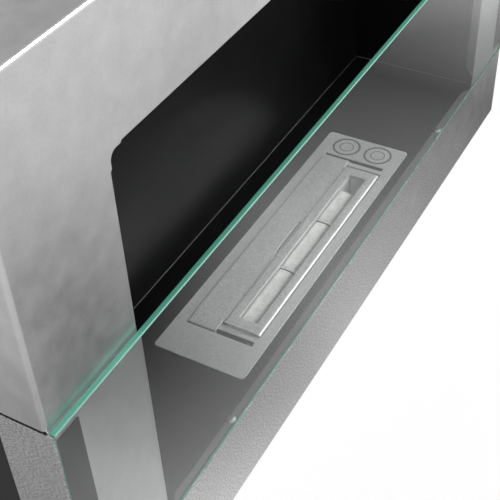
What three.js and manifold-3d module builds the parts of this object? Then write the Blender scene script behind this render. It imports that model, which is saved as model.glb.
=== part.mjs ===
// A wall-hung bioethanol fireplace: a black steel case with an open fire chamber, a brushed
// stainless front in two folded parts, a clear glass guard, and a lift-out burner with a sliding lid.
// Millimetres. X is the width, Y the depth with the front at minus, Z is up from the base.
import * as THREE from 'three';
import { mergeVertices } from 'three/addons/utils/BufferGeometryUtils.js';
import Module from 'manifold-3d';

const wasm = await Module();
wasm.setup();

// Overall size
const width = 900;
const height = 550;
const depth = 180;

// Sheets, folds and clearances
const frontSheet = 1.2;
const caseSheet = 1;
const foldRadius = 3;
const tightFold = 1.6;
const fit = 0.3; // between pieces that rest on or beside each other
const holeFit = 0.3; // round a fastener
const arcSteps = 4; // facets in a quarter of a bend

// Front frame and fascia
const columnWidth = 100;
const topBand = 95.5;
const cornerRadius = 7; // of the flat web left in each upper corner of the opening
const cornerReach = 13; // of the web along the opening's edges, where the lips end
const cornerStep = 1.6; // of the web into the opening
const returnDepth = 49; // from the glass plane to the back edge of the folded returns
const returnOverCase = 0.8; // from the inside of a return to the case
const lipDepth = 10; // stiffening lips round the opening
const lipFoot = 110; // lower end of the upright lips
const lipMitre = 9;
const railHeight = 92.7;
const railHem = 6;
const cheekDrop = 2; // cheek top below the glass top
const seam = 3; // open joint between cheek and upper frame
const columnFoot = 2;
const columnInset = 0.4;

// Glass guard
const glassThickness = 5;
const glassHeight = 213.5;
const glassArris = 0.8;
const panelGap = 1; // between the glass and the columns
const tapeWidth = 24.5;
const tapeTop = 9.5; // below the glass top
const tapeFoot = 12; // above the glass bottom

// Strip that the glass stands on
const stripBack = 14; // behind the glass plane
const stripSheet = 1.2;
const stripMitre = 18;
const stripEndGap = 3.2;
const stripScrewInset = 107; // from the opening's sides
const stripScrewBack = 10;
const stripScrewLength = 14;

// Case and fire chamber
const caseFlange = 14;
const chamberDepth = 159; // panel face to back wall
const chamberSideReach = 13.5; // of the side walls beyond the opening
const ceilingRise = 15.8; // above the opening
const chamberFlange = 12;
const floorDrop = 6.4; // of the chamber floor below the rail's top
const floorFlange = 12;
const spacerHeight = 30;
const spacerFoot = 18;
const lowWallScrew = 34.7; // above the chamber floor
const highWallScrew = 70.3; // below the ceiling
const wallScrewBack = 25; // behind the glass plane

// Fixings
const studRadius = 2;
const studReach = 4; // beyond the nut
const lowStud = 150;
const midStud = 12.5; // above the foot of the upper frame's returns
const highStud = 50; // below the top
const railStudX = [-300, 0, 300];
const railStudHeight = 8;
const nutAcross = 7;
const nutHeight = 3.2;
const screwRadius = 2;
const screwLength = 10;
const headRadius = 4.3;
const headHeight = 2.6;
const sunkRadius = 3.9;
const sunkHeight = 2.1;
const backScrewInset = 60; // from the top and the base
const headProfile = [[1, 0], [1, 0.35], [0.86, 0.72], [0.55, 0.95]]; // shares of radius and height
const drillReach = 5; // of a drilled cut either side of its point
const roundSides = 16;

// Hanging plates
const hangX = 250;
const hangDrop = 55; // of the keyholes below the top
const hangWidth = 60;
const hangTall = 54;
const hangSheet = 2;
const keyRadius = 5.5;
const keySlot = 6;
const keyRise = 14;
const keyRelief = 3;

// Mouth, bars and wool
const mouthLength = 252;
const mouthWidth = 19.8;
const barCount = 2;
const barShift = 0.8;
const barWidth = 2.4;
const barHeight = 6;
const barDrop = 0.3; // below the plate's top
const woolDrop = 2; // of the crown below the plate's top
const woolCrown = 3;
const woolEndRound = 6;
const woolFreeEnd = 25; // bare trough past the last pad

// Rim and trough
const rimShift = -2; // the insert stands off centre by its play
const rimEndBorder = 12.5; // round the mouth
const rimSideBorder = 9.6;
const rimSheet = 1;
const rimRise = 2.8;
const rimReturn = 5;
const troughWall = 0.8;
const troughDepth = 27;
const troughLap = 3.5; // of its flange under the plate
const troughHoleRadius = 2.5;
const troughHoles = 6;

// Burner plate
const plateWidth = 98.2;
const plateSheet = 1.2;
const plateRadius = 4;
const plateBehindGlass = 25.7;
const plateLap = 18.2; // over the floor at each end
const plateSideLap = 3.1;
const plateMargin = 39.7; // outside the slots
const slotWeb = 5.9; // between the insert's opening and a slot
const slotWidth = 6.4;
const slotFront = 13; // from the plate's front edge
const slotLength = 72.6;
const insertFront = 11; // from the plate's front edge
const insertEndPlay = 3.8; // round the rim
const insertFrontPlay = 0.9;
const insertBackPlay = 2.6;

// Sliding lid
const lidDepth = 36.2;
const lidSheet = 1.2;
const lidShift = -1.6; // the lid stands off centre by its play
const lidCutBack = 4.8; // of the front corners, which pass outside the rim
const lidTongueInset = 0.9; // of the middle part from the rim's ends
const lidBackStep = 0.8; // of the back corners
const lidLeg = 10.5; // from the lid's top
const lidUnderRim = 2; // overlap when open
const lidTravel = 31;
const slitLength = 52;
const slitWidth = 1.8;
const slitFromEdge = 4.8;
const slitHoleRadius = 1.7;

// Guides for the lid's legs
const guideDepth = 11;
const guideWall = 1;
const guideMargin = 1.2; // either side of the slot
const stopHeight = 6;
const stopLength = 3;

// Fuel tank
const tankLap = 2.9; // beyond the insert's opening at each end
const tankInset = 5.8; // from the plate's front and back edges
const tankDepth = 64.3;
const tankWall = 1;
const tankFold = 4;

// Planes that several pieces share
const frontY = -depth / 2;
const backY = depth / 2;
const halfWidth = width / 2;
const panelY = frontY + glassThickness + panelGap;
const panelBackY = panelY + frontSheet;
const returnBackY = frontY + returnDepth;
const glassBottom = railHeight + fit;
const glassTop = glassBottom + glassHeight;
const cheekTop = glassTop - cheekDrop;
const upperReturnFoot = cheekTop + seam;
const openingHalf = halfWidth - columnWidth;
const openingTop = height - topBand;
const lipHighEnd = openingTop - cornerReach - cornerStep;
const columnOuter = halfWidth - frontSheet - columnInset;
const caseHalf = halfWidth - frontSheet - returnOverCase;
const caseTop = height - frontSheet - returnOverCase;
const caseFrontY = panelBackY + fit;
const casePanelY = backY - caseSheet;
const caseBackY = casePanelY - fit;
const chamberHalf = openingHalf + chamberSideReach;
const chamberFrontY = caseFrontY + fit;
const chamberBackY = panelY + chamberDepth;
const ceilingBottom = openingTop + ceilingRise;
const floorTop = railHeight - floorDrop;
const wallFoot = floorTop + fit;
const stripY = frontY + stripBack;
const stripFrontY = frontY + frontSheet + fit;
const stripHalf = openingHalf - stripEndGap;
const stripScrewX = openingHalf - stripScrewInset;
const stripScrewY = frontY + stripScrewBack;
const wallScrewHeights = [floorTop + lowWallScrew, ceilingBottom - highWallScrew];
const studHeights = [lowStud, upperReturnFoot + midStud, height - highStud];
const backScrewHeights = [backScrewInset, height / 2, height - backScrewInset];
const hangHeight = height - hangDrop;
const floorHalf = caseHalf - caseSheet - fit;
const floorFrontY = caseFrontY + caseSheet + fit;
const floorBackY = caseBackY - caseSheet - fit;
const tongueHalf = openingHalf - fit;
const plateBottom = floorTop + fit;
const plateTop = plateBottom + plateSheet;
const plateFrontY = frontY + plateBehindGlass;
const plateBackY = plateFrontY + plateWidth;
const insertFrontY = plateFrontY + insertFront;
const rimFrontY = insertFrontY + insertFrontPlay;
const rimBackY = rimFrontY + mouthWidth + 2 * rimSideBorder;
const insertBackY = rimBackY + insertBackPlay;
const mouthCentreY = (rimFrontY + rimBackY) / 2;
const rimTop = plateTop + rimRise;
const mouthLeft = rimShift - mouthLength / 2;
const mouthRight = rimShift + mouthLength / 2;
const mouthFrontY = mouthCentreY - mouthWidth / 2;
const mouthBackY = mouthCentreY + mouthWidth / 2;
const rimLeft = mouthLeft - rimEndBorder;
const rimRight = mouthRight + rimEndBorder;
const insertHalf = (rimRight - rimLeft) / 2 + insertEndPlay;
const slotCentre = insertHalf + slotWeb + slotWidth / 2;
const plateHalf = slotCentre + slotWidth / 2 + plateMargin;
const barPitch = mouthLength / (barCount + 1);
const barX = Array.from({ length: barCount }, (_, i) => mouthLeft + (i + 1) * barPitch + barShift);
const underPlate = plateBottom - fit;
const troughFloor = underPlate - troughDepth;
const lidLeft = lidShift - slotCentre;
const lidRight = lidShift + slotCentre;
const lidEndCut = slotCentre - (rimRight - rimLeft) / 2 + lidTongueInset;
const lidBottom = plateTop + fit;
const lidTop = lidBottom + lidSheet;
const lidFrontY = rimBackY - lidUnderRim;
const lidBackY = lidFrontY + lidDepth;
const legFrontY = lidFrontY + lidCutBack;
const slotFrontY = plateFrontY + slotFront;
const slotBackY = slotFrontY + slotLength;
const flangeX = caseHalf - caseFlange / 2; // line of the fixings in the case flanges
const nutY = caseFrontY + caseSheet + fit;
const studEndY = nutY + nutHeight + studReach;

// Materials
function finish(color, roughness, metalness) {
  return () => new THREE.MeshStandardMaterial({ color, roughness, metalness });
}

const brushedSteel = finish(0xb4b4b4, 0.36, 1);
const burnerSteel = finish(0xa8a8a8, 0.38, 1);
const zincSteel = finish(0x9a9a98, 0.45, 1);
const blackPaint = finish(0x141414, 0.6, 0);
const satinBlack = finish(0x2a2a2a, 0.42, 0);
const blackTape = finish(0x101010, 0.85, 0);
const ceramicWool = finish(0xe8e6e0, 0.95, 0);

function clearGlass() {
  return new THREE.MeshStandardMaterial({
    color: 0xbfe0d4,
    roughness: 0.03,
    transparent: true,
    opacity: 0.3,
  });
}

// Solids
function solid(geometry) {
  geometry.deleteAttribute('normal');
  geometry.deleteAttribute('uv');
  const merged = mergeVertices(geometry, 1e-4);
  return new wasm.Manifold(
    new wasm.Mesh({
      numProp: 3,
      vertProperties: new Float32Array(merged.attributes.position.array),
      triVerts: new Uint32Array(merged.index.array),
    }),
  );
}

function block(x0, x1, y0, y1, z0, z1) {
  const geometry = new THREE.BoxGeometry(x1 - x0, y1 - y0, z1 - z0);
  geometry.translate((x0 + x1) / 2, (y0 + y1) / 2, (z0 + z1) / 2);
  return solid(geometry);
}

// A profile drawn in (y, z), (x, z) or (x, y) and drawn out along X, Y or Z.
function prism(axis, points, from, to, holes = []) {
  const shape = new THREE.Shape(points);
  shape.holes = holes.map((hole) => new THREE.Path(hole));
  const geometry = new THREE.ExtrudeGeometry(shape, { depth: to - from, bevelEnabled: false });
  const [x, y, z] = [0, 1, 2].map((i) => new THREE.Vector3().setComponent(i, 1));
  const bases = { x: [y, z, x], y: [x, z, y.clone().negate()], z: [x, y, z] };
  const turn = new THREE.Matrix4().makeBasis(...bases[axis]);
  const start = { x: [from, 0, 0], y: [0, to, 0], z: [0, 0, from] }[axis];
  geometry.applyMatrix4(turn);
  geometry.translate(...start);
  return solid(geometry);
}

// A profile of [radius, height] pairs turned about an axis through the point.
function turned(profile, axis, point) {
  const points = profile.map(([radius, along]) => new THREE.Vector2(radius, along));
  const geometry = new THREE.LatheGeometry(points, roundSides);
  const to = new THREE.Vector3(...axis);
  const turn = new THREE.Quaternion().setFromUnitVectors(new THREE.Vector3(0, 1, 0), to);
  geometry.applyQuaternion(turn);
  geometry.translate(...point);
  return solid(geometry);
}

// The corner at p, rounded to the radius, as points from the side of a to the side of b.
function roundCorner(a, p, b, radius) {
  if (radius <= 0) return [p];
  const toA = a.clone().sub(p).normalize();
  const toB = b.clone().sub(p).normalize();
  const half = Math.acos(THREE.MathUtils.clamp(toA.dot(toB), -1, 1)) / 2;
  const reach = radius / Math.tan(half);
  const centre = toA.clone().add(toB).setLength(radius / Math.sin(half)).add(p);
  const start = p.clone().addScaledVector(toA, reach).sub(centre);
  const end = p.clone().addScaledVector(toB, reach).sub(centre);
  const sweep = Math.sign(start.cross(end)) * (Math.PI - 2 * half);
  return Array.from({ length: arcSteps + 1 }, (_, i) =>
    start.clone().rotateAround(new THREE.Vector2(), (sweep * i) / arcSteps).add(centre),
  );
}

// A closed outline with each corner rounded to its own radius.
function outline(corners, radii) {
  const points = corners.map(([x, y]) => new THREE.Vector2(x, y));
  return points.flatMap((p, i) => {
    const before = points[(i + points.length - 1) % points.length];
    const after = points[(i + 1) % points.length];
    return roundCorner(before, p, after, Array.isArray(radii) ? radii[i] : radii);
  });
}

function rectangle(x0, x1, y0, y1, radii = 0) {
  return outline([[x0, y0], [x1, y0], [x1, y1], [x0, y1]], radii);
}

// The section of a sheet folded along a line of its left face, with the given outer bend radius.
function folded(line, sheet, radius) {
  const left = line.map(([x, y]) => new THREE.Vector2(x, y));
  const right = left.map((p, i) => {
    const into = i > 0 ? p.clone().sub(left[i - 1]).normalize() : null;
    const out = i < left.length - 1 ? left[i + 1].clone().sub(p).normalize() : null;
    const a = into || out;
    const b = out || into;
    const normal = new THREE.Vector2(a.y + b.y, -a.x - b.x).divideScalar(1 + a.dot(b));
    return p.clone().addScaledVector(normal, sheet);
  });
  const side = (points, turnSign) =>
    points.flatMap((p, i) => {
      if (i === 0 || i === points.length - 1) return [p];
      const turn = p.clone().sub(points[i - 1]).cross(points[i + 1].clone().sub(p)) * turnSign;
      return roundCorner(points[i - 1], p, points[i + 1], turn < 0 ? radius : radius - sheet);
    });
  return [...side(right, -1), ...side(left, 1).reverse()];
}

function union(pieces) {
  return pieces.reduce((whole, piece) => whole.add(piece));
}

function cut(whole, tools) {
  return tools.reduce((rest, tool) => rest.subtract(tool), whole);
}

const group = new THREE.Group();

function addMesh(name, body, material) {
  const { vertProperties, triVerts } = body.getMesh();
  const geometry = new THREE.BufferGeometry();
  geometry.setAttribute('position', new THREE.BufferAttribute(vertProperties, 3));
  geometry.setIndex(new THREE.BufferAttribute(triVerts, 1));
  const mesh = new THREE.Mesh(geometry, material);
  mesh.name = name;
  group.add(mesh);
}

// Fasteners
function hole(axis, point, radius) {
  const profile = [[0, -drillReach], [radius, -drillReach], [radius, drillReach], [0, drillReach]];
  return turned(profile, axis, point);
}

function panScrew(axis, point, length) {
  const profile = [
    [0, -length],
    [screwRadius, -length],
    [screwRadius, 0],
    ...headProfile.map(([across, up]) => [headRadius * across, headHeight * up]),
    [0, headHeight],
  ];
  return turned(profile, axis, point);
}

function sunkScrew(axis, point, grow = 0) {
  const profile = [
    [0, -screwLength],
    [screwRadius + grow, -screwLength],
    [screwRadius + grow, -sunkHeight - grow],
    [sunkRadius + grow, 0],
    [0, 0],
  ];
  return turned(profile, axis, point);
}

function hexNut(point, axis) {
  const outer = nutAcross / Math.sqrt(3);
  const bore = studRadius + holeFit;
  const profile = [[bore, 0], [outer, 0], [outer, nutHeight], [bore, nutHeight], [bore, 0]];
  const points = profile.map(([radius, along]) => new THREE.Vector2(radius, along));
  const geometry = new THREE.LatheGeometry(points, 6);
  const turn = new THREE.Quaternion();
  turn.setFromUnitVectors(new THREE.Vector3(0, 1, 0), new THREE.Vector3(...axis));
  geometry.applyQuaternion(turn);
  geometry.translate(...point);
  return solid(geometry);
}

function weldedStud(x, y, z) {
  const reach = studEndY - y;
  return turned([[0, 0], [studRadius, 0], [studRadius, reach], [0, reach]], [0, 1, 0], [x, y, z]);
}

const frameStuds = [-1, 1].flatMap((side) => studHeights.map((z) => [side * flangeX, z]));
const studHole = studRadius + holeFit;
const screwHole = screwRadius + holeFit;

// Upper front frame: one sheet with a rounded opening, folded back at the top and both sides.
function upperFrame() {
  const shell = (inset, radius) => {
    const plan = rectangle(
      -halfWidth + inset, halfWidth - inset, panelY + inset, returnBackY + inset,
      [radius, radius, 0, 0],
    );
    const side = outline(
      [
        [panelY + inset, columnFoot - inset],
        [returnBackY + inset, columnFoot - inset],
        [returnBackY + inset, height - inset],
        [panelY + inset, height - inset],
      ],
      [0, 0, 0, radius],
    );
    const upright = prism('z', plan, columnFoot - inset, height - inset);
    return upright.intersect(prism('x', side, -halfWidth, halfWidth));
  };
  const rightEdge = [
    [openingHalf, columnFoot - frontSheet],
    [openingHalf, lipHighEnd],
    [openingHalf - cornerStep, lipHighEnd + cornerStep],
    [openingHalf - cornerStep, openingTop - cornerStep],
    [openingHalf - cornerReach, openingTop - cornerStep],
    [openingHalf - cornerReach - cornerStep, openingTop],
  ];
  const leftEdge = rightEdge.map(([x, z]) => [-x, z]).reverse();
  const radii = [0, 0, 0, cornerRadius, 0, 0];
  const opening = outline([...rightEdge, ...leftEdge], [...radii, ...radii.slice().reverse()]);
  const belowSeam = [
    block(-width, width, panelBackY, backY, 0, upperReturnFoot),
    block(-width, -columnOuter, frontY, backY, 0, upperReturnFoot),
    block(columnOuter, width, frontY, backY, 0, upperReturnFoot),
  ];
  const sheet = cut(shell(0, foldRadius).subtract(shell(frontSheet, foldRadius - frontSheet)), [
    prism('y', opening, frontY, panelBackY + fit),
    ...belowSeam,
  ]);
  const studs = frameStuds.map(([x, z]) => weldedStud(x, panelBackY - frontSheet / 2, z));
  return union([sheet, ...openingLips(), ...studs]);
}

// Lips folded back along the straight sides of the opening, mitred at their ends.
function openingLips() {
  const lipBackY = panelY + lipDepth;
  const uprightLip = [
    [panelY, lipFoot - lipMitre / 2],
    [lipBackY, lipFoot + lipMitre],
    [lipBackY, lipHighEnd - lipMitre],
    [panelY, lipHighEnd],
  ];
  const topHalf = openingHalf - cornerReach - cornerStep;
  const topLip = [
    [-topHalf, panelY],
    [topHalf, panelY],
    [topHalf - lipMitre, lipBackY],
    [-topHalf + lipMitre, lipBackY],
  ];
  return [
    prism('x', outline(uprightLip, 0), -openingHalf - frontSheet, -openingHalf),
    prism('x', outline(uprightLip, 0), openingHalf, openingHalf + frontSheet),
    prism('z', outline(topLip, 0), openingTop, openingTop + frontSheet),
  ];
}

// Lower fascia: a rail with a cheek folded back and up at each end, in the plane of the glass.
function lowerFascia() {
  const shell = (inset, radius) => {
    const plan = rectangle(
      -halfWidth + inset, halfWidth - inset, frontY + inset, returnBackY + inset,
      [radius, radius, 0, 0],
    );
    return prism('z', plan, inset ? -frontSheet : 0, cheekTop + inset);
  };
  const sheet = shell(0, foldRadius).subtract(shell(frontSheet, foldRadius - frontSheet));
  const aboveRail = block(
    -halfWidth + frontSheet, halfWidth - frontSheet, frontY - fit, returnBackY, railHeight, height,
  );
  const hemLine = [
    [frontY + railHem, 0],
    [frontY + frontSheet / 2, 0],
    [frontY + frontSheet / 2, frontSheet],
    [frontY + railHem, frontSheet],
  ];
  const hem = prism('x', outline(hemLine, 0), -halfWidth + foldRadius, halfWidth - foldRadius);
  const studs = railStudX.map((x) => weldedStud(x, frontY + frontSheet / 2, railStudHeight));
  return union([sheet.subtract(aboveRail), hem, ...studs]);
}

function glassPane() {
  const half = halfWidth - frontSheet - fit;
  const section = [
    [frontY, glassBottom + glassArris],
    [frontY + glassArris, glassBottom],
    [frontY + glassThickness - glassArris, glassBottom],
    [frontY + glassThickness, glassBottom + glassArris],
    [frontY + glassThickness, glassTop - glassArris],
    [frontY + glassThickness - glassArris, glassTop],
    [frontY + glassArris, glassTop],
    [frontY, glassTop - glassArris],
  ];
  return prism('x', outline(section, 0), -half, half);
}

function glassTape(side) {
  const outer = columnOuter - fit;
  const [x0, x1] = side < 0 ? [-outer, -outer + tapeWidth] : [outer - tapeWidth, outer];
  const y0 = frontY + glassThickness + fit;
  return block(x0, x1, y0, panelY - fit, glassBottom + tapeFoot, glassTop - tapeTop);
}

function glassRestStrip() {
  const line = [
    [stripFrontY, wallFoot],
    [stripFrontY, railHeight],
    [stripY, railHeight],
    [stripY, wallFoot],
  ];
  const channel = prism('x', folded(line, stripSheet, tightFold), -stripHalf, stripHalf);
  const mitre = (side) =>
    prism(
      'z',
      outline(
        [
          [side * (stripHalf - stripMitre), stripY + fit],
          [side * stripHalf, frontY + glassThickness - fit],
          [side * (stripHalf + fit), frontY + glassThickness - fit],
          [side * (stripHalf + fit), stripY + fit],
        ],
        0,
      ),
      0,
      height,
    );
  const screwHoles = [-1, 1].map((side) =>
    hole([0, 0, 1], [side * stripScrewX, stripScrewY, railHeight], screwHole),
  );
  return cut(channel, [mitre(-1), mitre(1), ...screwHoles]);
}

// Case: four folded walls and a flat back.
function caseSide(side) {
  const outer = side * caseHalf;
  const inner = side * (caseHalf - caseFlange);
  const line = [
    [inner, caseBackY],
    [outer, caseBackY],
    [outer, caseFrontY],
    [inner, caseFrontY],
  ];
  const section = folded(side > 0 ? line : line.reverse(), caseSheet, tightFold);
  const wall = prism('z', section, caseSheet + fit, caseTop - caseSheet - fit);
  const x = side * flangeX;
  const studHoles = studHeights.map((z) => hole([0, 1, 0], [x, caseFrontY, z], studHole));
  const screwHoles = backScrewHeights.map((z) => sunkScrew([0, 1, 0], [x, backY, z], holeFit));
  return cut(wall, [...studHoles, ...screwHoles]);
}

// Top or bottom of the case: the turned flanges stop short of those of the sides.
function caseEnd(up) {
  const face = up > 0 ? caseTop : 0;
  const lip = face - up * caseFlange;
  const line = [
    [caseFrontY, lip],
    [caseFrontY, face],
    [caseBackY, face],
    [caseBackY, lip],
  ];
  const section = folded(up > 0 ? line : line.reverse(), caseSheet, tightFold);
  const plate = prism('x', section, -caseHalf, caseHalf);
  const inside = face - up * caseSheet;
  const [z0, z1] = up > 0 ? [0, inside] : [inside, height];
  const flangeHalf = caseHalf - caseFlange - fit;
  const corners = [
    block(-width, -flangeHalf, frontY, backY, z0, z1),
    block(flangeHalf, width, frontY, backY, z0, z1),
  ];
  const railHoles = railStudX.map((x) => hole([0, 1, 0], [x, caseFrontY, railStudHeight], studHole));
  return cut(plate, up > 0 ? corners : [...corners, ...railHoles]);
}

function keyhole(x, relief) {
  const drop = block(
    x - keySlot / 2 - relief, x + keySlot / 2 + relief, 0, depth, hangHeight, hangHeight + keyRise,
  );
  const entry = hole([0, 1, 0], [x, backY, hangHeight], keyRadius + relief);
  const seat = hole([0, 1, 0], [x, backY, hangHeight + keyRise], keySlot / 2 + relief);
  return union([drop, entry, seat]);
}

const backScrewPlaces = [-1, 1].flatMap((side) =>
  backScrewHeights.map((z) => [side * flangeX, backY, z]),
);

function caseBack() {
  const plate = block(-caseHalf, caseHalf, casePanelY, backY, 0, caseTop);
  return cut(plate, [
    keyhole(-hangX, keyRelief),
    keyhole(hangX, keyRelief),
    ...backScrewPlaces.map((place) => sunkScrew([0, 1, 0], place, holeFit)),
  ]);
}

function hangingPlate(side) {
  const x = side * hangX;
  const foot = hangHeight + keyRise / 2 - hangTall / 2;
  const face = rectangle(x - hangWidth / 2, x + hangWidth / 2, foot, foot + hangTall, plateRadius);
  return prism('y', face, caseBackY - hangSheet, caseBackY).subtract(keyhole(x, 0));
}

// Fire chamber: folded panels that close the space behind the opening.
function chamberBack() {
  const half = chamberHalf + chamberFlange;
  const line = [
    [half, caseBackY],
    [half, chamberBackY],
    [-half, chamberBackY],
    [-half, caseBackY],
  ];
  return prism('z', folded(line, caseSheet, tightFold), wallFoot, ceilingBottom + chamberFlange);
}

function chamberSide(side) {
  const inner = side * chamberHalf;
  const outer = side * (chamberHalf + chamberFlange);
  const line = [
    [outer, chamberFrontY],
    [inner, chamberFrontY],
    [inner, chamberBackY - fit],
    [outer, chamberBackY - fit],
  ];
  const section = folded(side > 0 ? line : line.reverse(), caseSheet, tightFold);
  const wall = prism('z', section, wallFoot, ceilingBottom - fit);
  const holes = wallScrewHeights.map((z) =>
    hole([1, 0, 0], [inner, frontY + wallScrewBack, z], screwHole),
  );
  return cut(wall, holes);
}

function chamberCeiling() {
  const line = [
    [chamberBackY - fit, ceilingBottom + chamberFlange],
    [chamberBackY - fit, ceilingBottom],
    [chamberFrontY, ceilingBottom],
    [chamberFrontY, ceilingBottom + chamberFlange],
  ];
  const half = chamberHalf + caseSheet;
  return prism('x', folded(line, caseSheet, tightFold), -half, half);
}

function chamberFloor() {
  const across = [
    [-floorHalf, floorTop - floorFlange],
    [-floorHalf, floorTop],
    [floorHalf, floorTop],
    [floorHalf, floorTop - floorFlange],
  ];
  const along = [
    [stripFrontY, floorTop - floorFlange],
    [stripFrontY, floorTop],
    [stripY, floorTop],
  ];
  const burnerHole = rectangle(
    plateLap - plateHalf, plateHalf - plateLap,
    plateFrontY + plateSideLap, plateBackY - plateSideLap, plateRadius,
  );
  const sheet = union([
    prism('y', folded(across, caseSheet, tightFold), floorFrontY, floorBackY),
    prism('x', folded(along, caseSheet, tightFold), -tongueHalf, tongueHalf),
  ]);
  const screwHoles = [-1, 1].map((side) =>
    hole([0, 0, 1], [side * stripScrewX, stripScrewY, floorTop], screwHole),
  );
  return cut(sheet, [prism('z', burnerHole, 0, height), ...screwHoles]);
}

// Z-shaped spacer between a chamber wall and the case side.
function wallSpacer(side, z) {
  const near = side * (chamberHalf + caseSheet + fit);
  const far = side * (caseHalf - 2 * caseSheet - fit);
  const webY = frontY + wallScrewBack + spacerFoot / 2;
  const line = [
    [near, webY - spacerFoot],
    [near, webY],
    [far, webY],
    [far, webY + spacerFoot],
  ];
  const foot = folded(side > 0 ? line : line.reverse(), caseSheet, tightFold);
  const strip = prism('z', foot, z - spacerHeight / 2, z + spacerHeight / 2);
  return strip.subtract(hole([1, 0, 0], [near, frontY + wallScrewBack, z], screwHole));
}

// Burner: a plate that lies in the floor, with the trough, rim, guides and tank that hang from it.
function burnerPlate() {
  const openings = [
    rectangle(-insertHalf, insertHalf, insertFrontY, insertBackY),
    ...[-1, 1].map((side) => {
      const x = side * slotCentre;
      return rectangle(x - slotWidth / 2, x + slotWidth / 2, slotFrontY, slotBackY);
    }),
  ];
  const plan = rectangle(-plateHalf, plateHalf, plateFrontY, plateBackY, plateRadius);
  return prism('z', plan, plateBottom, plateTop, openings);
}

// Raised rim: a flat top with the mouth cut through, folded down along the front and its corners.
function burnerRim() {
  const side = outline(
    [[rimFrontY, underPlate + fit], [rimBackY, underPlate + fit], [rimBackY, rimTop], [rimFrontY, rimTop]],
    [0, 0, 0, tightFold],
  );
  const within = outline(
    [
      [rimFrontY + rimSheet, plateBottom - fit],
      [rimBackY + fit, plateBottom - fit],
      [rimBackY + fit, rimTop - rimSheet],
      [rimFrontY + rimSheet, rimTop - rimSheet],
    ],
    [0, 0, 0, tightFold - rimSheet],
  );
  const mouth = rectangle(mouthLeft, mouthRight, mouthFrontY, mouthBackY);
  const ends = block(
    rimLeft - fit, rimRight + fit,
    rimFrontY + rimReturn, rimBackY + fit,
    plateBottom - fit, rimTop - rimSheet,
  );
  return cut(prism('x', side, rimLeft, rimRight), [
    prism('x', within, rimLeft + rimSheet, rimRight - rimSheet),
    prism('z', mouth, 0, height),
    ends,
  ]);
}

// An open-topped box of sheet.
function tray(plan, radius, wall, bottom, top) {
  const [x0, x1, y0, y1] = plan;
  const inner = rectangle(x0 + wall, x1 - wall, y0 + wall, y1 - wall, Math.max(radius - wall, 0));
  return prism('z', rectangle(x0, x1, y0, y1, radius), bottom, top).subtract(
    prism('z', inner, bottom + wall, top + wall),
  );
}

function woolTrough() {
  const plan = [
    mouthLeft - troughWall, mouthRight + troughWall, mouthFrontY - troughWall, mouthBackY + troughWall,
  ];
  const flange = prism(
    'z',
    rectangle(rimLeft, rimRight, insertFrontY - troughLap, insertBackY + troughLap),
    underPlate - troughWall,
    underPlate,
    [rectangle(mouthLeft, mouthRight, mouthFrontY, mouthBackY)],
  );
  const pitch = mouthLength / troughHoles;
  const drains = Array.from({ length: troughHoles }, (_, i) =>
    hole([0, 0, 1], [mouthLeft + pitch * (i + 0.5), mouthCentreY, troughFloor], troughHoleRadius),
  );
  const body = tray(plan, 0, troughWall, troughFloor - troughWall, underPlate);
  return cut(body.add(flange), drains);
}

function crossBar(x) {
  const top = plateTop - barDrop;
  return block(
    x - barWidth / 2, x + barWidth / 2, mouthFrontY + fit, mouthBackY - fit, top - barHeight, top,
  );
}

// A pad of ceramic wool: crowned on top, with rounded ends.
function woolPad(x0, x1) {
  const [y0, y1] = [mouthFrontY + fit, mouthBackY - fit];
  const crown = plateTop - woolDrop;
  const arc = new THREE.QuadraticBezierCurve(
    new THREE.Vector2(y1, crown - woolCrown),
    new THREE.Vector2(mouthCentreY, crown + woolCrown),
    new THREE.Vector2(y0, crown - woolCrown),
  );
  const section = [
    new THREE.Vector2(y0, troughFloor + fit),
    new THREE.Vector2(y1, troughFloor + fit),
    ...arc.getPoints(2 * arcSteps),
  ];
  const plan = prism('z', rectangle(x0, x1, y0, y1, woolEndRound), troughFloor, height);
  return prism('x', section, x0, x1).intersect(plan);
}

const padStarts = [mouthLeft, ...barX.map((x) => x + barWidth / 2)];
const padEnds = [...barX.map((x) => x - barWidth / 2), mouthRight - woolFreeEnd];
const padSpans = padStarts.map((x, i) => [x + fit, padEnds[i] - fit]);

// Sliding lid: flat, with a leg folded down at each end and a slit for the hook.
function sliderLid() {
  const sheet = outline(
    [
      [lidLeft, legFrontY],
      [lidLeft + lidEndCut, legFrontY],
      [lidLeft + lidEndCut, lidFrontY],
      [lidRight - lidEndCut, lidFrontY],
      [lidRight - lidEndCut, legFrontY],
      [lidRight, legFrontY],
      [lidRight, lidBackY - lidBackStep],
      [lidRight - lidEndCut, lidBackY - lidBackStep],
      [lidRight - lidEndCut, lidBackY],
      [lidLeft + lidEndCut, lidBackY],
      [lidLeft + lidEndCut, lidBackY - lidBackStep],
      [lidLeft, lidBackY - lidBackStep],
    ],
    0,
  );
  const acrossLine = [
    [lidLeft, lidTop - lidLeg],
    [lidLeft, lidTop],
    [lidRight, lidTop],
    [lidRight, lidTop - lidLeg],
  ];
  const across = prism('y', folded(acrossLine, lidSheet, tightFold), lidFrontY, lidBackY);
  const slitY = lidFrontY + slitFromEdge;
  const slit = rectangle(-slitLength / 2, slitLength / 2, slitY, slitY + slitWidth);
  return cut(across.intersect(prism('z', sheet, 0, height)), [
    prism('z', slit, 0, height),
    hole([0, 0, 1], [slitLength / 2, slitY + slitWidth / 2, lidTop], slitHoleRadius),
  ]);
}

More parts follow.
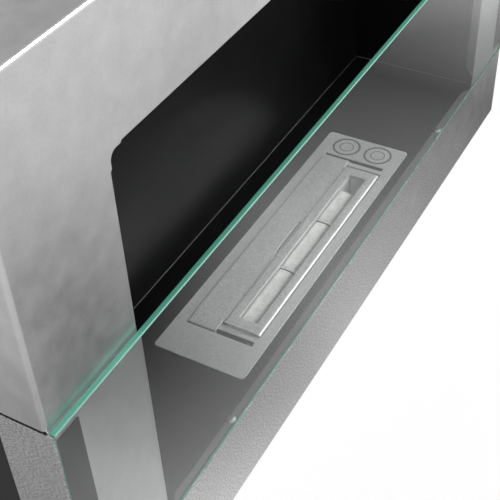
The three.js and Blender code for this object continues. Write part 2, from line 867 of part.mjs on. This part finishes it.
// Guide under a slot, with the lug that stops the lid's leg when the mouth is covered.
function sliderGuide(side) {
  const half = slotWidth / 2 + guideMargin + guideWall;
  const x = side * slotCentre;
  const bottom = underPlate - guideDepth;
  const stopY = legFrontY - lidTravel - fit;
  const channel = tray(
    [x - half, x + half, slotFrontY - guideWall, slotBackY + guideWall], 0, guideWall, bottom, underPlate,
  );
  const lug = block(
    x - half + guideWall / 2, x + half - guideWall / 2, stopY - stopLength, stopY,
    bottom + guideWall / 2, bottom + stopHeight,
  );
  return channel.add(lug);
}

function fuelTank() {
  const half = insertHalf + tankLap;
  const plan = [-half, half, plateFrontY + tankInset, plateBackY - tankInset];
  return tray(plan, tankFold, tankWall, underPlate - tankDepth, underPlate);
}

// Assembly
addMesh('upper_front_frame', upperFrame(), brushedSteel());
addMesh('lower_front_fascia', lowerFascia(), brushedSteel());
addMesh('glass_pane', glassPane(), clearGlass());
addMesh('glass_rest_strip', glassRestStrip(), satinBlack());
addMesh('case_top', caseEnd(1), blackPaint());
addMesh('case_bottom', caseEnd(-1), blackPaint());
addMesh('case_back', caseBack(), blackPaint());
addMesh('firebox_back', chamberBack(), blackPaint());
addMesh('firebox_ceiling', chamberCeiling(), blackPaint());
addMesh('firebox_floor', chamberFloor(), blackPaint());

for (const [name, side] of [['left', -1], ['right', 1]]) {
  addMesh(`glass_tape_${name}`, glassTape(side), blackTape());
  addMesh(`case_${name}`, caseSide(side), blackPaint());
  addMesh(`firebox_${name}`, chamberSide(side), blackPaint());
  addMesh(`hanging_plate_${name}`, hangingPlate(side), zincSteel());
  const strip = [side * stripScrewX, stripScrewY];
  const stripScrew = panScrew([0, 0, 1], [...strip, railHeight + fit], stripScrewLength);
  const stripNut = hexNut([...strip, floorTop - caseSheet - fit], [0, 0, -1]);
  addMesh(`strip_screw_${name}`, stripScrew, zincSteel());
  addMesh(`strip_nut_${name}`, stripNut, zincSteel());
  wallScrewHeights.forEach((z, i) => {
    const level = ['lower', 'upper'][i];
    const place = [side * (chamberHalf - fit), frontY + wallScrewBack, z];
    addMesh(`wall_screw_${name}_${level}`, panScrew([-side, 0, 0], place, screwLength), blackPaint());
    addMesh(`wall_spacer_${name}_${level}`, wallSpacer(side, z), zincSteel());
  });
}

frameStuds.forEach(([x, z], i) => {
  addMesh(`frame_nut_${i + 1}`, hexNut([x, nutY, z], [0, 1, 0]), zincSteel());
});
railStudX.forEach((x, i) => {
  addMesh(`rail_nut_${i + 1}`, hexNut([x, nutY, railStudHeight], [0, 1, 0]), zincSteel());
});
backScrewPlaces.forEach((place, i) => {
  addMesh(`back_screw_${i + 1}`, sunkScrew([0, 1, 0], place), zincSteel());
});

addMesh('burner_plate', burnerPlate(), burnerSteel());
addMesh('burner_rim', burnerRim(), burnerSteel());
addMesh('wool_trough', woolTrough(), burnerSteel());
addMesh('fuel_tank', fuelTank(), burnerSteel());
addMesh('slider_lid', sliderLid(), burnerSteel());
addMesh('slider_guide_left', sliderGuide(-1), burnerSteel());
addMesh('slider_guide_right', sliderGuide(1), burnerSteel());
barX.forEach((x, i) => addMesh(`cross_bar_${i + 1}`, crossBar(x), burnerSteel()));
padSpans.forEach(([x0, x1], i) => addMesh(`wool_pad_${i + 1}`, woolPad(x0, x1), ceramicWool()));

export default group;
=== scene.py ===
from math import radians

import bmesh
import bpy
from mathutils import Euler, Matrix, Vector


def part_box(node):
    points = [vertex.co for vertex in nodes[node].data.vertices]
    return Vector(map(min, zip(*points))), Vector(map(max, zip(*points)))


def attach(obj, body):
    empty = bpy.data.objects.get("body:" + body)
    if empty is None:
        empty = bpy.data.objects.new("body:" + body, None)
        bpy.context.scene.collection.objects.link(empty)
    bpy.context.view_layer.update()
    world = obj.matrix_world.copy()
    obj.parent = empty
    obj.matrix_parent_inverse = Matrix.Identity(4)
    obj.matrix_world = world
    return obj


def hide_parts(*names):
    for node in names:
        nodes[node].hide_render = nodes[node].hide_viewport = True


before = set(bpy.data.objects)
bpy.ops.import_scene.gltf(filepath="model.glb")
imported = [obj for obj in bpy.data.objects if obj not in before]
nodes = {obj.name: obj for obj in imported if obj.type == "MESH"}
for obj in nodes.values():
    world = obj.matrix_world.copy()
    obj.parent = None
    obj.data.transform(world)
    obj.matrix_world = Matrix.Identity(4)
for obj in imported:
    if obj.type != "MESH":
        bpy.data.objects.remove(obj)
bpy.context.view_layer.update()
print("frame loaded:", len(nodes), "nodes")

scene = bpy.context.scene
scene.view_settings.view_transform = "Standard"

cameraSetup = {
    "place": (-0.72843, -0.40630, 0.80942),
    "turn": (48.28545, 2.34368, -60.88507),  # degrees
    "lens": 74.64,
    "sensor": 36.0,
    "nearest": 0.01,
}


def addCamera():
    lens = bpy.data.cameras.new("photoCamera")
    lens.lens = cameraSetup["lens"]
    lens.sensor_width = cameraSetup["sensor"]
    lens.clip_start = cameraSetup["nearest"]
    holder = bpy.data.objects.new("photoCamera", lens)
    holder.rotation_euler = Euler([radians(a) for a in cameraSetup["turn"]])
    holder.location = cameraSetup["place"]
    scene.collection.objects.link(holder)
    scene.camera = holder


addCamera()
print("camera done")


class Value:  # a socket that takes part in sums
    def __init__(self, owner, socket):
        self.owner = owner
        self.socket = socket

    def maths(self, operation, *others):
        return self.owner.maths(operation, self, *others)

    def __add__(self, other):
        return self.maths("ADD", other)

    def __sub__(self, other):
        return self.maths("SUBTRACT", other)

    def __rsub__(self, other):
        return self.owner.maths("SUBTRACT", other, self)

    def __mul__(self, other):
        return self.maths("MULTIPLY", other)

    def __truediv__(self, other):
        return self.maths("DIVIDE", other)

    def __gt__(self, other):
        return self.maths("GREATER_THAN", other)

    def __lt__(self, other):
        return self.maths("LESS_THAN", other)

    def __abs__(self):
        return self.maths("ABSOLUTE")

    __radd__ = __add__
    __rmul__ = __mul__


class Nodes:  # the nodes of a material or of the world
    def __init__(self, tree):
        self.tree = tree

    def join(self, socket, value):
        if isinstance(value, Value):
            self.tree.links.new(value.socket, socket)
        else:
            socket.default_value = value

    def add(self, kind, settings=None, sockets=(), output=0):
        made = self.tree.nodes.new(kind)
        for name, value in (settings or {}).items():
            if name == "stops":
                self.setStops(made.color_ramp, value)
            else:
                setattr(made, name, value)
        named = sockets.items() if isinstance(sockets, dict) else enumerate(sockets)
        for key, value in named:
            self.join(made.inputs[key], value)
        return Value(self, made.outputs[output])

    def maths(self, operation, *values):
        return self.add("ShaderNodeMath", {"operation": operation}, values)

    def setStops(self, ramp, stops):
        while len(ramp.elements) < len(stops):
            ramp.elements.new(0.5)
        for element, (place, level) in zip(ramp.elements, stops):
            element.position = place
            element.color = grey(level)

    def place(self, scale=(1, 1, 1), centre=(0, 0, 0)):
        raw = self.add("ShaderNodeTexCoord", output="Object")
        shift = [-c * s for c, s in zip(centre, scale)]
        return self.add("ShaderNodeMapping", {}, {"Vector": raw, "Scale": scale, "Location": shift})

    def axes(self, centre=(0, 0, 0)):
        parts = self.add("ShaderNodeSeparateXYZ", {}, [self.place(centre=centre)])
        made = parts.socket.node
        return [Value(self, made.outputs[i]) for i in range(3)]

    def distance(self, centre=(0, 0, 0)):  # from a point, seen from above
        x, y, _ = self.axes(centre)
        return (x * x + y * y).maths("SQRT")

    def noise(self, scale, detail, rough=0.5):  # scale in counts in a metre
        scales = scale if isinstance(scale, tuple) else (scale,) * 3
        sockets = {"Vector": self.place(scales), "Scale": 1.0, "Detail": detail, "Roughness": rough}
        return self.add("ShaderNodeTexNoise", {}, sockets)

    def ramp(self, value, stops):
        return self.add("ShaderNodeValToRGB", {"stops": stops}, [value])

    def mix(self, amount, first, second):
        sockets = {0: amount, 6: first, 7: second}
        return self.add("ShaderNodeMix", {"data_type": "RGBA"}, sockets, 2)

    def bump(self, height, distance, strength, normal=None):
        sockets = {"Height": height, "Distance": distance, "Strength": strength}
        if normal:
            sockets["Normal"] = normal
        return self.add("ShaderNodeBump", {}, sockets)

    def mixShader(self, amount, first, second):
        return self.add("ShaderNodeMixShader", {}, [amount, first, second])

    def rays(self, kind):
        return self.add("ShaderNodeLightPath", output=f"Is {kind} Ray")


class Recipe(Nodes):  # a material being put together
    def __init__(self, name, **constants):
        self.material = bpy.data.materials.new(name)
        self.material.use_nodes = True
        super().__init__(self.material.node_tree)
        self.shader = self.tree.nodes["Principled BSDF"]
        self.plain = Value(self, self.shader.outputs["BSDF"])
        self.feed(**constants)

    def feed(self, **sockets):
        for name, value in sockets.items():
            self.join(self.shader.inputs[name.replace("_", " ")], value)

    def cover(self, shader):
        self.join(self.tree.nodes["Material Output"].inputs["Surface"], shader)


def grey(level):
    return (level, level, level, 1.0)


def dress(material, *names):
    for name in names:
        slots = nodes[name].data.materials
        slots.clear()
        slots.append(material)


def named(*starts):
    return [name for name in nodes if name.startswith(starts)]


steel = {
    "along": 480.0,  # grain lengths and widths, as counts in a metre
    "across": 800.0,
    "grainDetail": 1.5,
    "grainRough": 0.6,
    "cloud": 9.0,
    "cloudDetail": 4.0,
    "smear": 60.0,
    "smearDetail": 3.0,
    "roughSpan": (0.3, 0.7),  # of the clouds
    "scratchDepth": 0.00002,
    "scratchStrength": 0.6,
    "sideFace": 0.4487,  # the grain turns on the folded sides from here
}

# Shades and roughness are the lowest and highest. Hard is half the span of the grain that
# goes from one to the other, and edge is the radius of the rounded edges and of their painted
# highlight.
steelKinds = {
    "frontSteel": {
        "shades": (0.59, 0.71), "rough": (0.33, 0.41),
        "grain": 0.25, "hard": 0.14, "metal": 1.0, "edge": 0.0005,
    },
    "railSteel": {
        "shades": (0.45, 0.84), "rough": (0.31, 0.43),
        "grain": 0.9, "hard": 0.11, "metal": 1.0, "edge": 0.0002,
    },
    "burnerSteel": {
        "shades": (0.65, 0.86), "rough": (0.40, 0.52),
        "grain": 0.8, "hard": 0.11, "metal": 0.6, "edge": 0.0009,
    },
    "plateSteel": {
        "shades": (0.67, 0.83), "rough": (0.40, 0.52),
        "grain": 0.8, "hard": 0.13, "metal": 0.6, "edge": 0.0007,
    },
    # Painted shade: the guides are burner steel painted dark for the shade in their slots.
    "shadedGuideSteel": {
        "shades": (0.16, 0.26), "rough": (0.40, 0.52),
        "grain": 0.5, "hard": 0.14, "metal": 0.8, "edge": 0.0004,
    },
}

paintedSteelLight = {
    "edgeSamples": 4,
    "edgeMask": [(0.01, 0.0), (0.12, 1.0)],
    "highlightShade": 1.0,
    "highlightMetalDrop": 0.8,  # of the metal's shine, so the painted highlight shows as a light line
    "cornerSamples": 6,
    "cornerReach": 0.003,
    "cornerMask": [(0.15, 0.0), (0.55, 1.0)],
    "paintedShadeTone": 0.12,
    "endShadeShare": 0.3,
    "endShadeMask": [(0.13, 0.0), (0.20, 1.0)],  # painted shade, towards the burner's left end
}


def paintedEdgeHighlight(recipe, radius):  # rounded normals, and a mask of the edges for a painted highlight
    samples = {"samples": paintedSteelLight["edgeSamples"]}
    rounded = recipe.add("ShaderNodeBevel", samples, {"Radius": radius})
    flat = recipe.add("ShaderNodeNewGeometry", output="Normal")
    dot = {"operation": "DOT_PRODUCT"}
    alike = recipe.add("ShaderNodeVectorMath", dot, [rounded, flat], 1)
    return rounded, recipe.ramp(1.0 - alike, paintedSteelLight["edgeMask"])


# Painted shade: darker in corners and creases, from ambient occlusion.
def shadedCorners(recipe):
    samples = {"samples": paintedSteelLight["cornerSamples"]}
    reach = {"Distance": paintedSteelLight["cornerReach"]}
    clear = recipe.add("ShaderNodeAmbientOcclusion", samples, reach, "AO")
    return recipe.ramp(1.0 - clear, paintedSteelLight["cornerMask"])


def grainAlong(recipe, axis):
    scale = [steel["across"]] * 3
    scale[axis] = steel["along"]
    return recipe.noise(tuple(scale), steel["grainDetail"], steel["grainRough"])


def paintedShadeBase(recipe, base, edgeHighlight):  # painted shade, darker in corners and towards the burner's left end
    shadeColour = grey(paintedSteelLight["paintedShadeTone"])
    base = recipe.mix(shadedCorners(recipe) * (1 - edgeHighlight), base, shadeColour)
    # painted shade: darker towards the burner's left end
    endShade = recipe.ramp(recipe.axes()[0] * -1.0, paintedSteelLight["endShadeMask"])
    return recipe.mix(endShade * paintedSteelLight["endShadeShare"], base, shadeColour)


def steelMaterial(name, turnedAt=None, marksOf=None):
    kind = steelKinds[name]
    recipe = Recipe(name, Metallic=kind["metal"])
    fine = grainAlong(recipe, 0)
    if turnedAt:
        turned = abs(recipe.axes()[0]) > turnedAt
        fine = fine + (grainAlong(recipe, 1) - fine) * turned
    cloud = recipe.noise(steel["cloud"], steel["cloudDetail"])
    smear = recipe.noise(steel["smear"], steel["smearDetail"])
    clouds = cloud * 0.5 + smear * 0.5
    tone = fine * kind["grain"] + clouds * (1 - kind["grain"])
    spread = recipe.ramp(tone, [(0.5 - kind["hard"], 0.0), (0.5 + kind["hard"], 1.0)])
    rounded, edgeHighlight = paintedEdgeHighlight(recipe, kind["edge"])
    brushed = recipe.mix(spread, *[grey(shade) for shade in kind["shades"]])
    # painted highlight: the edges are lightened towards white
    base = recipe.mix(edgeHighlight, brushed, grey(paintedSteelLight["highlightShade"]))
    if kind["metal"] < 1:
        base = paintedShadeBase(recipe, base, edgeHighlight)
        recipe.feed(Metallic=kind["metal"] * (1 - edgeHighlight * paintedSteelLight["highlightMetalDrop"]))
    if marksOf:
        base = recipe.mix(marksOf(recipe), base, grey(rings["dark"]))
    recipe.feed(
        Base_Color=base,
        Roughness=recipe.ramp(clouds, list(zip(steel["roughSpan"], kind["rough"]))),
        Normal=recipe.bump(fine, steel["scratchDepth"], steel["scratchStrength"], rounded),
    )
    return recipe.material


rings = {  # plain, engraved in the burner plate
    "centres": [(0.174, 0.004, 0), (0.174, -0.035, 0)],
    "sizes": [(0.0165, 0.0026), (0.0085, 0.0012)],  # radius and stroke
    "dark": 0.20,
}


def ringMarks(recipe):
    marks = 0.0
    for centre in rings["centres"]:
        away = recipe.distance(centre)
        for radius, stroke in rings["sizes"]:
            marks = (abs(away - (radius - stroke / 2)) < stroke / 2) + marks
    return marks


dress(steelMaterial("frontSteel", steel["sideFace"]), "upper_front_frame")
dress(steelMaterial("railSteel", steel["sideFace"]), "lower_front_fascia")
dress(steelMaterial("plateSteel", marksOf=ringMarks), "burner_plate")
dress(
    steelMaterial("burnerSteel"),
    "slider_lid", "cross_bar_1", "cross_bar_2", "wool_trough", "fuel_tank", "burner_rim",
)
dress(steelMaterial("shadedGuideSteel"), "slider_guide_left", "slider_guide_right")
print("steels done")

paint = {
    "grain": 900.0,
    "grainDetail": 2.0,
    "grainDepth": 0.00003,
    "grainStrength": 0.5,
    "cloud": 5.0,
    "cloudDetail": 5.0,
    "cloudMask": [(0.35, 0), (0.65, 1)],
    "roughSpan": (0.3, 0.7),
    "roughSpread": 0.06,
    "footLineShade": 0.16,  # lighter along the chamber walls' bottom edges
    "footLineBelow": 0.0875,
}

paintKinds = {
    "chamberPaint": {"shades": (0.0025, 0.0045), "rough": 0.42, "gloss": 0.12, "smooth": 1},
    "wallPaint": {"shades": (0.0025, 0.0045), "rough": 0.42, "gloss": 0.10, "smooth": 1},
    "casePaint": {"shades": (0.012, 0.02), "rough": 0.6, "gloss": 0.35, "smooth": 1},
    "stripPaint": {"shades": (0.085, 0.11), "rough": 0.4, "gloss": 0.35, "smooth": 2},
}


def paintMaterial(name, lightFoot=False):
    kind = paintKinds[name]
    recipe = Recipe(name, Specular_IOR_Level=kind["gloss"])
    grain = recipe.noise(paint["grain"], paint["grainDetail"])
    cloud = recipe.noise(paint["cloud"], paint["cloudDetail"])
    tone = recipe.mix(
        recipe.ramp(cloud, paint["cloudMask"]), *[grey(shade) for shade in kind["shades"]])
    if lightFoot:
        footLine = recipe.axes()[2] < paint["footLineBelow"]
        tone = recipe.mix(footLine, tone, grey(paint["footLineShade"]))
    ends = (kind["rough"] - paint["roughSpread"], kind["rough"] + paint["roughSpread"])
    depth = paint["grainDepth"] / kind["smooth"]
    recipe.feed(
        Base_Color=tone,
        Roughness=recipe.ramp(cloud * 0.6 + grain * 0.4, list(zip(paint["roughSpan"], ends))),
        Normal=recipe.bump(grain, depth, paint["grainStrength"]),
    )
    return recipe.material


dress(paintMaterial("chamberPaint"), "firebox_floor", "firebox_ceiling", *named("wall_screw_"))
dress(paintMaterial("wallPaint", lightFoot=True), "firebox_back", "firebox_left", "firebox_right")
dress(paintMaterial("casePaint"), *named("case_"))
dress(paintMaterial("stripPaint"), "glass_rest_strip")

tape = {
    "weave": (300.0, 300.0, 1400.0),
    "weaveDetail": 2.0,
    "weaveDepth": 0.00004,
    "weaveStrength": 0.5,
    "shades": (0.006, 0.02),
    "rough": [(0.3, 0.7), (0.7, 0.9)],
}


def tapeMaterial():
    recipe = Recipe("tape", Specular_IOR_Level=0.3)
    weave = recipe.noise(tape["weave"], tape["weaveDetail"])
    recipe.feed(
        Base_Color=recipe.mix(weave, *[grey(shade) for shade in tape["shades"]]),
        Roughness=recipe.ramp(weave, tape["rough"]),
        Normal=recipe.bump(weave, tape["weaveDepth"], tape["weaveStrength"]),
    )
    return recipe.material


zinc = {
    "spangle": 160.0,
    "spangleDetail": 3.0,
    "shades": [(0.46, 0.46, 0.45, 1), (0.66, 0.66, 0.64, 1)],
    "rough": [(0.3, 0.32), (0.7, 0.5)],
}


def zincMaterial():
    recipe = Recipe("zinc", Metallic=1.0)
    spangle = recipe.noise(zinc["spangle"], zinc["spangleDetail"])
    recipe.feed(
        Base_Color=recipe.mix(spangle, *zinc["shades"]),
        Roughness=recipe.ramp(spangle, zinc["rough"]),
    )
    return recipe.material


dress(tapeMaterial(), "glass_tape_left", "glass_tape_right")
dress(
    zincMaterial(),
    *named("wall_spacer", "frame_nut", "rail_nut", "strip_", "hanging_", "back_screw"),
)
print("paints done")

glass = {
    "body": (0.975, 0.99, 0.985, 1),
    "bend": 1.52,
    "edgeDark": (0.055, 0.26, 0.185, 1),
    "edge": (0.10, 0.37, 0.27, 1),
    "edgeRough": 0.5,
    "edgeBend": 1.45,
    "arris": (0.15, 0.36, 0.29, 1),
    "arrisLow": (0.045, 0.13, 0.095, 1),
    "arrisReach": 0.000816,  # just past the arris
    "endReach": 0.00005,
    "flow": (60.0, 900.0, 60.0),
    "flowDetail": 2.0,
    "shadow": (0.88, 0.9, 0.89, 1),
}


def glassMaterial():
    low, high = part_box("glass_pane")
    middle = (low + high) / 2
    half = (high - low) / 2
    recipe = Recipe(
        "guardGlass", IOR=glass["bend"], Roughness=0.0, Transmission_Weight=1.0,
        Base_Color=glass["body"])
    x, y, z = recipe.axes()
    reach = glass["arrisReach"]
    ends = (z > high.z - reach) + (z < low.z + reach) + (abs(x) > half.x - glass["endReach"])
    onArris = abs(y - middle.y) > half.y - reach
    flow = recipe.noise(glass["flow"], glass["flowDetail"])
    tone = recipe.mix(flow, glass["edgeDark"], glass["edge"])
    arris = recipe.mix(z > middle.z, glass["arrisLow"], glass["arris"])
    edge = recipe.add("ShaderNodeBsdfPrincipled", {}, {
        "Base Color": recipe.mix(onArris, tone, arris),
        "Roughness": glass["edgeRough"],
        "IOR": glass["edgeBend"],
    }, "BSDF")
    through = recipe.add("ShaderNodeBsdfTransparent", {}, [glass["shadow"]])
    clear = recipe.mixShader(recipe.rays("Shadow"), recipe.plain, through)
    recipe.cover(recipe.mixShader(ends.maths("MINIMUM", 1.0), clear, edge))
    return recipe.material


dress(glassMaterial(), "glass_pane")
print("glass done")

wool = {
    "cell": 0.0013,
    "inset": 0.0002,
    "rise": 0.0019,  # of the crown over the CAD pad, still under the lid's path
    "crownAt": 0.25,  # behind the middle, as a share of the half width
    "backDrop": 0.0002,
    "frontDrop": 0.0046,
    "endDrop": 0.0012,
    "endPull": 0.06,
    "fill": 0.55,
}

woolFibre = {
    "strands": (260.0, 900.0, 900.0),
    "crossing": (900.0, 300.0, 700.0),
    "fineDetail": 6.0,
    "fineRough": 0.7,
    "tuft": 90.0,
    "tuftDetail": 4.0,
    "mask": [(0.38, 0), (0.60, 1)],
    "depth": 0.0006,
    "strength": 0.9,
    "shadeLow": (0.62, 0.61, 0.60, 1),
    "shadeHigh": (0.93, 0.925, 0.91, 1),
    "shadeUnderRim": (0.24, 0.24, 0.235, 1),
    "rimShadow": [(0.05, 0.75), (0.45, 0.28), (0.8, 0.0)],  # painted shadow of the rim, from the front edge to the back
    "rimShadowStray": 0.5,
}


def woolMaterial():
    recipe = Recipe("ceramicWool", Roughness=0.95, Specular_IOR_Level=0.15, Sheen_Weight=0.25)
    strands = recipe.noise(woolFibre["strands"], woolFibre["fineDetail"], woolFibre["fineRough"])
    crossing = recipe.noise(woolFibre["crossing"], woolFibre["fineDetail"], woolFibre["fineRough"])
    tuft = recipe.noise(woolFibre["tuft"], woolFibre["tuftDetail"])
    fibre = strands * 0.4 + crossing * 0.35 + tuft * 0.25
    tone = recipe.mix(
        recipe.ramp(fibre, woolFibre["mask"]), woolFibre["shadeLow"], woolFibre["shadeHigh"])
    low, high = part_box("wool_pad_1")
    away = (recipe.axes()[1] - low.y) / (high.y - low.y)
    stray = (tuft - 0.5) * woolFibre["rimShadowStray"]
    # painted shadow of the rim: darker towards the front edge
    rimShadow = recipe.ramp(away + stray, woolFibre["rimShadow"])
    recipe.feed(
        Base_Color=recipe.mix(rimShadow, tone, woolFibre["shadeUnderRim"]),
        Normal=recipe.bump(fibre, woolFibre["depth"], woolFibre["strength"]),
    )
    return recipe.material


woolFinish = woolMaterial()


def cutToCells(pad, low, size):
    inset = wool["inset"]
    for axis in range(3):
        cuts = int(size[axis] / wool["cell"])
        across = Vector([float(i == axis) for i in range(3)])
        for i in range(1, cuts):
            at = low.copy()
            at[axis] = low[axis] + inset + (size[axis] - 2 * inset) * i / cuts
            whole = pad.verts[:] + pad.edges[:] + pad.faces[:]
            bmesh.ops.bisect_plane(pad, geom=whole, plane_co=at, plane_no=across)


def crownPoint(vert, low, high):
    size = high - low
    middle = (low + high) / 2
    rel = Vector([(vert.co[i] - middle[i]) / (size[i] / 2) for i in range(3)])
    up = (vert.co.z - low.z) / size.z
    vert.co.y = middle.y + (vert.co.y - middle.y) * (1 - wool["endPull"] * abs(rel.x) ** 6 * up)
    back = max(rel.y - wool["crownAt"], 0)
    front = max(wool["crownAt"] - rel.y, 0) / (1 + wool["crownAt"])
    drop = wool["backDrop"] * back + wool["frontDrop"] * front ** 2
    vert.co.z += up * (wool["rise"] - drop - wool["endDrop"] * abs(rel.x) ** 12)


def addWoolPad(name):
    low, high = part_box(name)
    size = high - low
    pad = bmesh.new()
    bmesh.ops.create_cube(pad, size=1.0)
    bmesh.ops.scale(pad, vec=[s - 2 * wool["inset"] for s in size], verts=pad.verts)
    bmesh.ops.translate(pad, vec=(low + high) / 2, verts=pad.verts)
    cutToCells(pad, low, size)
    for vert in pad.verts:
        crownPoint(vert, low, high)
    bmesh.ops.recalc_face_normals(pad, faces=pad.faces)
    piece = addPiece("wool_fill_" + name[-1], pad, woolFinish, smooth=True)
    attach(piece, "burner")
    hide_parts(name)


def addPiece(name, shape, material, smooth=False):
    mesh = bpy.data.meshes.new(name)
    shape.to_mesh(mesh)
    shape.free()
    for face in mesh.polygons:
        face.use_smooth = smooth
    mesh.materials.append(material)
    piece = bpy.data.objects.new(name, mesh)
    scene.collection.objects.link(piece)
    return piece


for name in ("wool_pad_1", "wool_pad_2", "wool_pad_3"):
    addWoolPad(name)
print("wool done")

floor = {
    "size": 14.0,
    "drop": 0.0004,
    "shade": 0.86,
    "seenShare": 0.8,  # of white for the camera, the rest keeps the shadow
    "footX": 0.45,  # half of what the object covers
    "footY": 0.09,
}

# Painted reflection: what the steel and the glass mirror glows in graded greys near the object,
# with a dark patch, and white further off.
mirrored = {
    "across": [
        (0.0, 0.5), (0.22, 0.28), (0.36, 0.88), (0.43, 0.7),
        (0.5, 0.66), (0.62, 0.36), (0.73, 0.16), (1.0, 0.8),
    ],
    "far": [(0.22, 0.0), (0.62, 1.0)],
    "farShade": 0.98,
    "patchCentre": (-0.15, -0.36, 0),
    "patch": [(0.05, 0.05), (0.30, 1.0)],
}


def mirroredShade(recipe):
    x, y, _ = recipe.axes()
    aside = (abs(x) - floor["footX"]).maths("MAXIMUM", 0.0)
    ahead = (abs(y) - floor["footY"]).maths("MAXIMUM", 0.0)
    away = (aside * aside + ahead * ahead).maths("SQRT")
    across = recipe.ramp((x + 1.0) / 2.0, mirrored["across"])
    far = recipe.ramp(away, mirrored["far"])
    patch = recipe.ramp(recipe.distance(mirrored["patchCentre"]), mirrored["patch"])
    graded = recipe.mix(far, across, grey(mirrored["farShade"]))
    return recipe.mix(patch, grey(0.0), graded)


def floorMaterial():
    recipe = Recipe(
        "studioFloor", Roughness=0.9, Specular_IOR_Level=0.1, Base_Color=grey(floor["shade"]))
    shown = (recipe.rays("Camera") + recipe.rays("Transmission")).maths("MINIMUM", 1.0)
    white = recipe.add("ShaderNodeEmission", {}, {"Color": grey(1.0), "Strength": 1.0})
    # painted reflection: for glossy rays the floor glows in graded greys
    graded = recipe.add(
        "ShaderNodeEmission", {}, {"Color": mirroredShade(recipe), "Strength": 1.0})
    direct = recipe.mixShader(shown * floor["seenShare"], recipe.plain, white)
    recipe.cover(recipe.mixShader(recipe.rays("Glossy"), direct, graded))
    return recipe.material


def addFloor():
    sheet = bmesh.new()
    bmesh.ops.create_grid(sheet, x_segments=1, y_segments=1, size=floor["size"] / 2)
    bmesh.ops.translate(sheet, vec=(0, 0, -floor["drop"]), verts=sheet.verts)
    addPiece("studioFloor", sheet, floorMaterial())


studio = {
    "worldShade": 0.85,
    "worldLevel": 0.55,
    "aim": (0, 0, 0.2),
    "lamps": [
        {"place": (-1.6, -2.4, 2.8), "size": 2.2, "power": 52.0},
        {"place": (1.1, -1.4, 1.15), "size": 0.9, "power": 32.0},
        {"place": (-0.6, 2.2, 3.0), "size": 2.0, "power": 40.0},
    ],
}


def addLamp(index, lamp):
    light = bpy.data.lights.new(f"softbox{index}", "AREA")
    light.size = lamp["size"]
    light.energy = lamp["power"]
    holder = bpy.data.objects.new(light.name, light)
    towards = Vector(studio["aim"]) - Vector(lamp["place"])
    holder.location = lamp["place"]
    holder.rotation_euler = towards.to_track_quat("-Z", "Y").to_euler()
    scene.collection.objects.link(holder)


def addWorld():
    world = bpy.data.worlds.new("studioWorld")
    world.use_nodes = True
    sky = Nodes(world.node_tree)
    back = world.node_tree.nodes["Background"]
    seen = sky.rays("Camera")  # white for the camera
    level = studio["worldLevel"]
    sky.join(back.inputs["Color"], sky.mix(seen, grey(studio["worldShade"]), grey(1.0)))
    sky.join(back.inputs["Strength"], seen * (1 - level) + level)
    scene.world = world


addFloor()
addWorld()
for index, lamp in enumerate(studio["lamps"], 1):
    addLamp(index, lamp)
print("studio done")
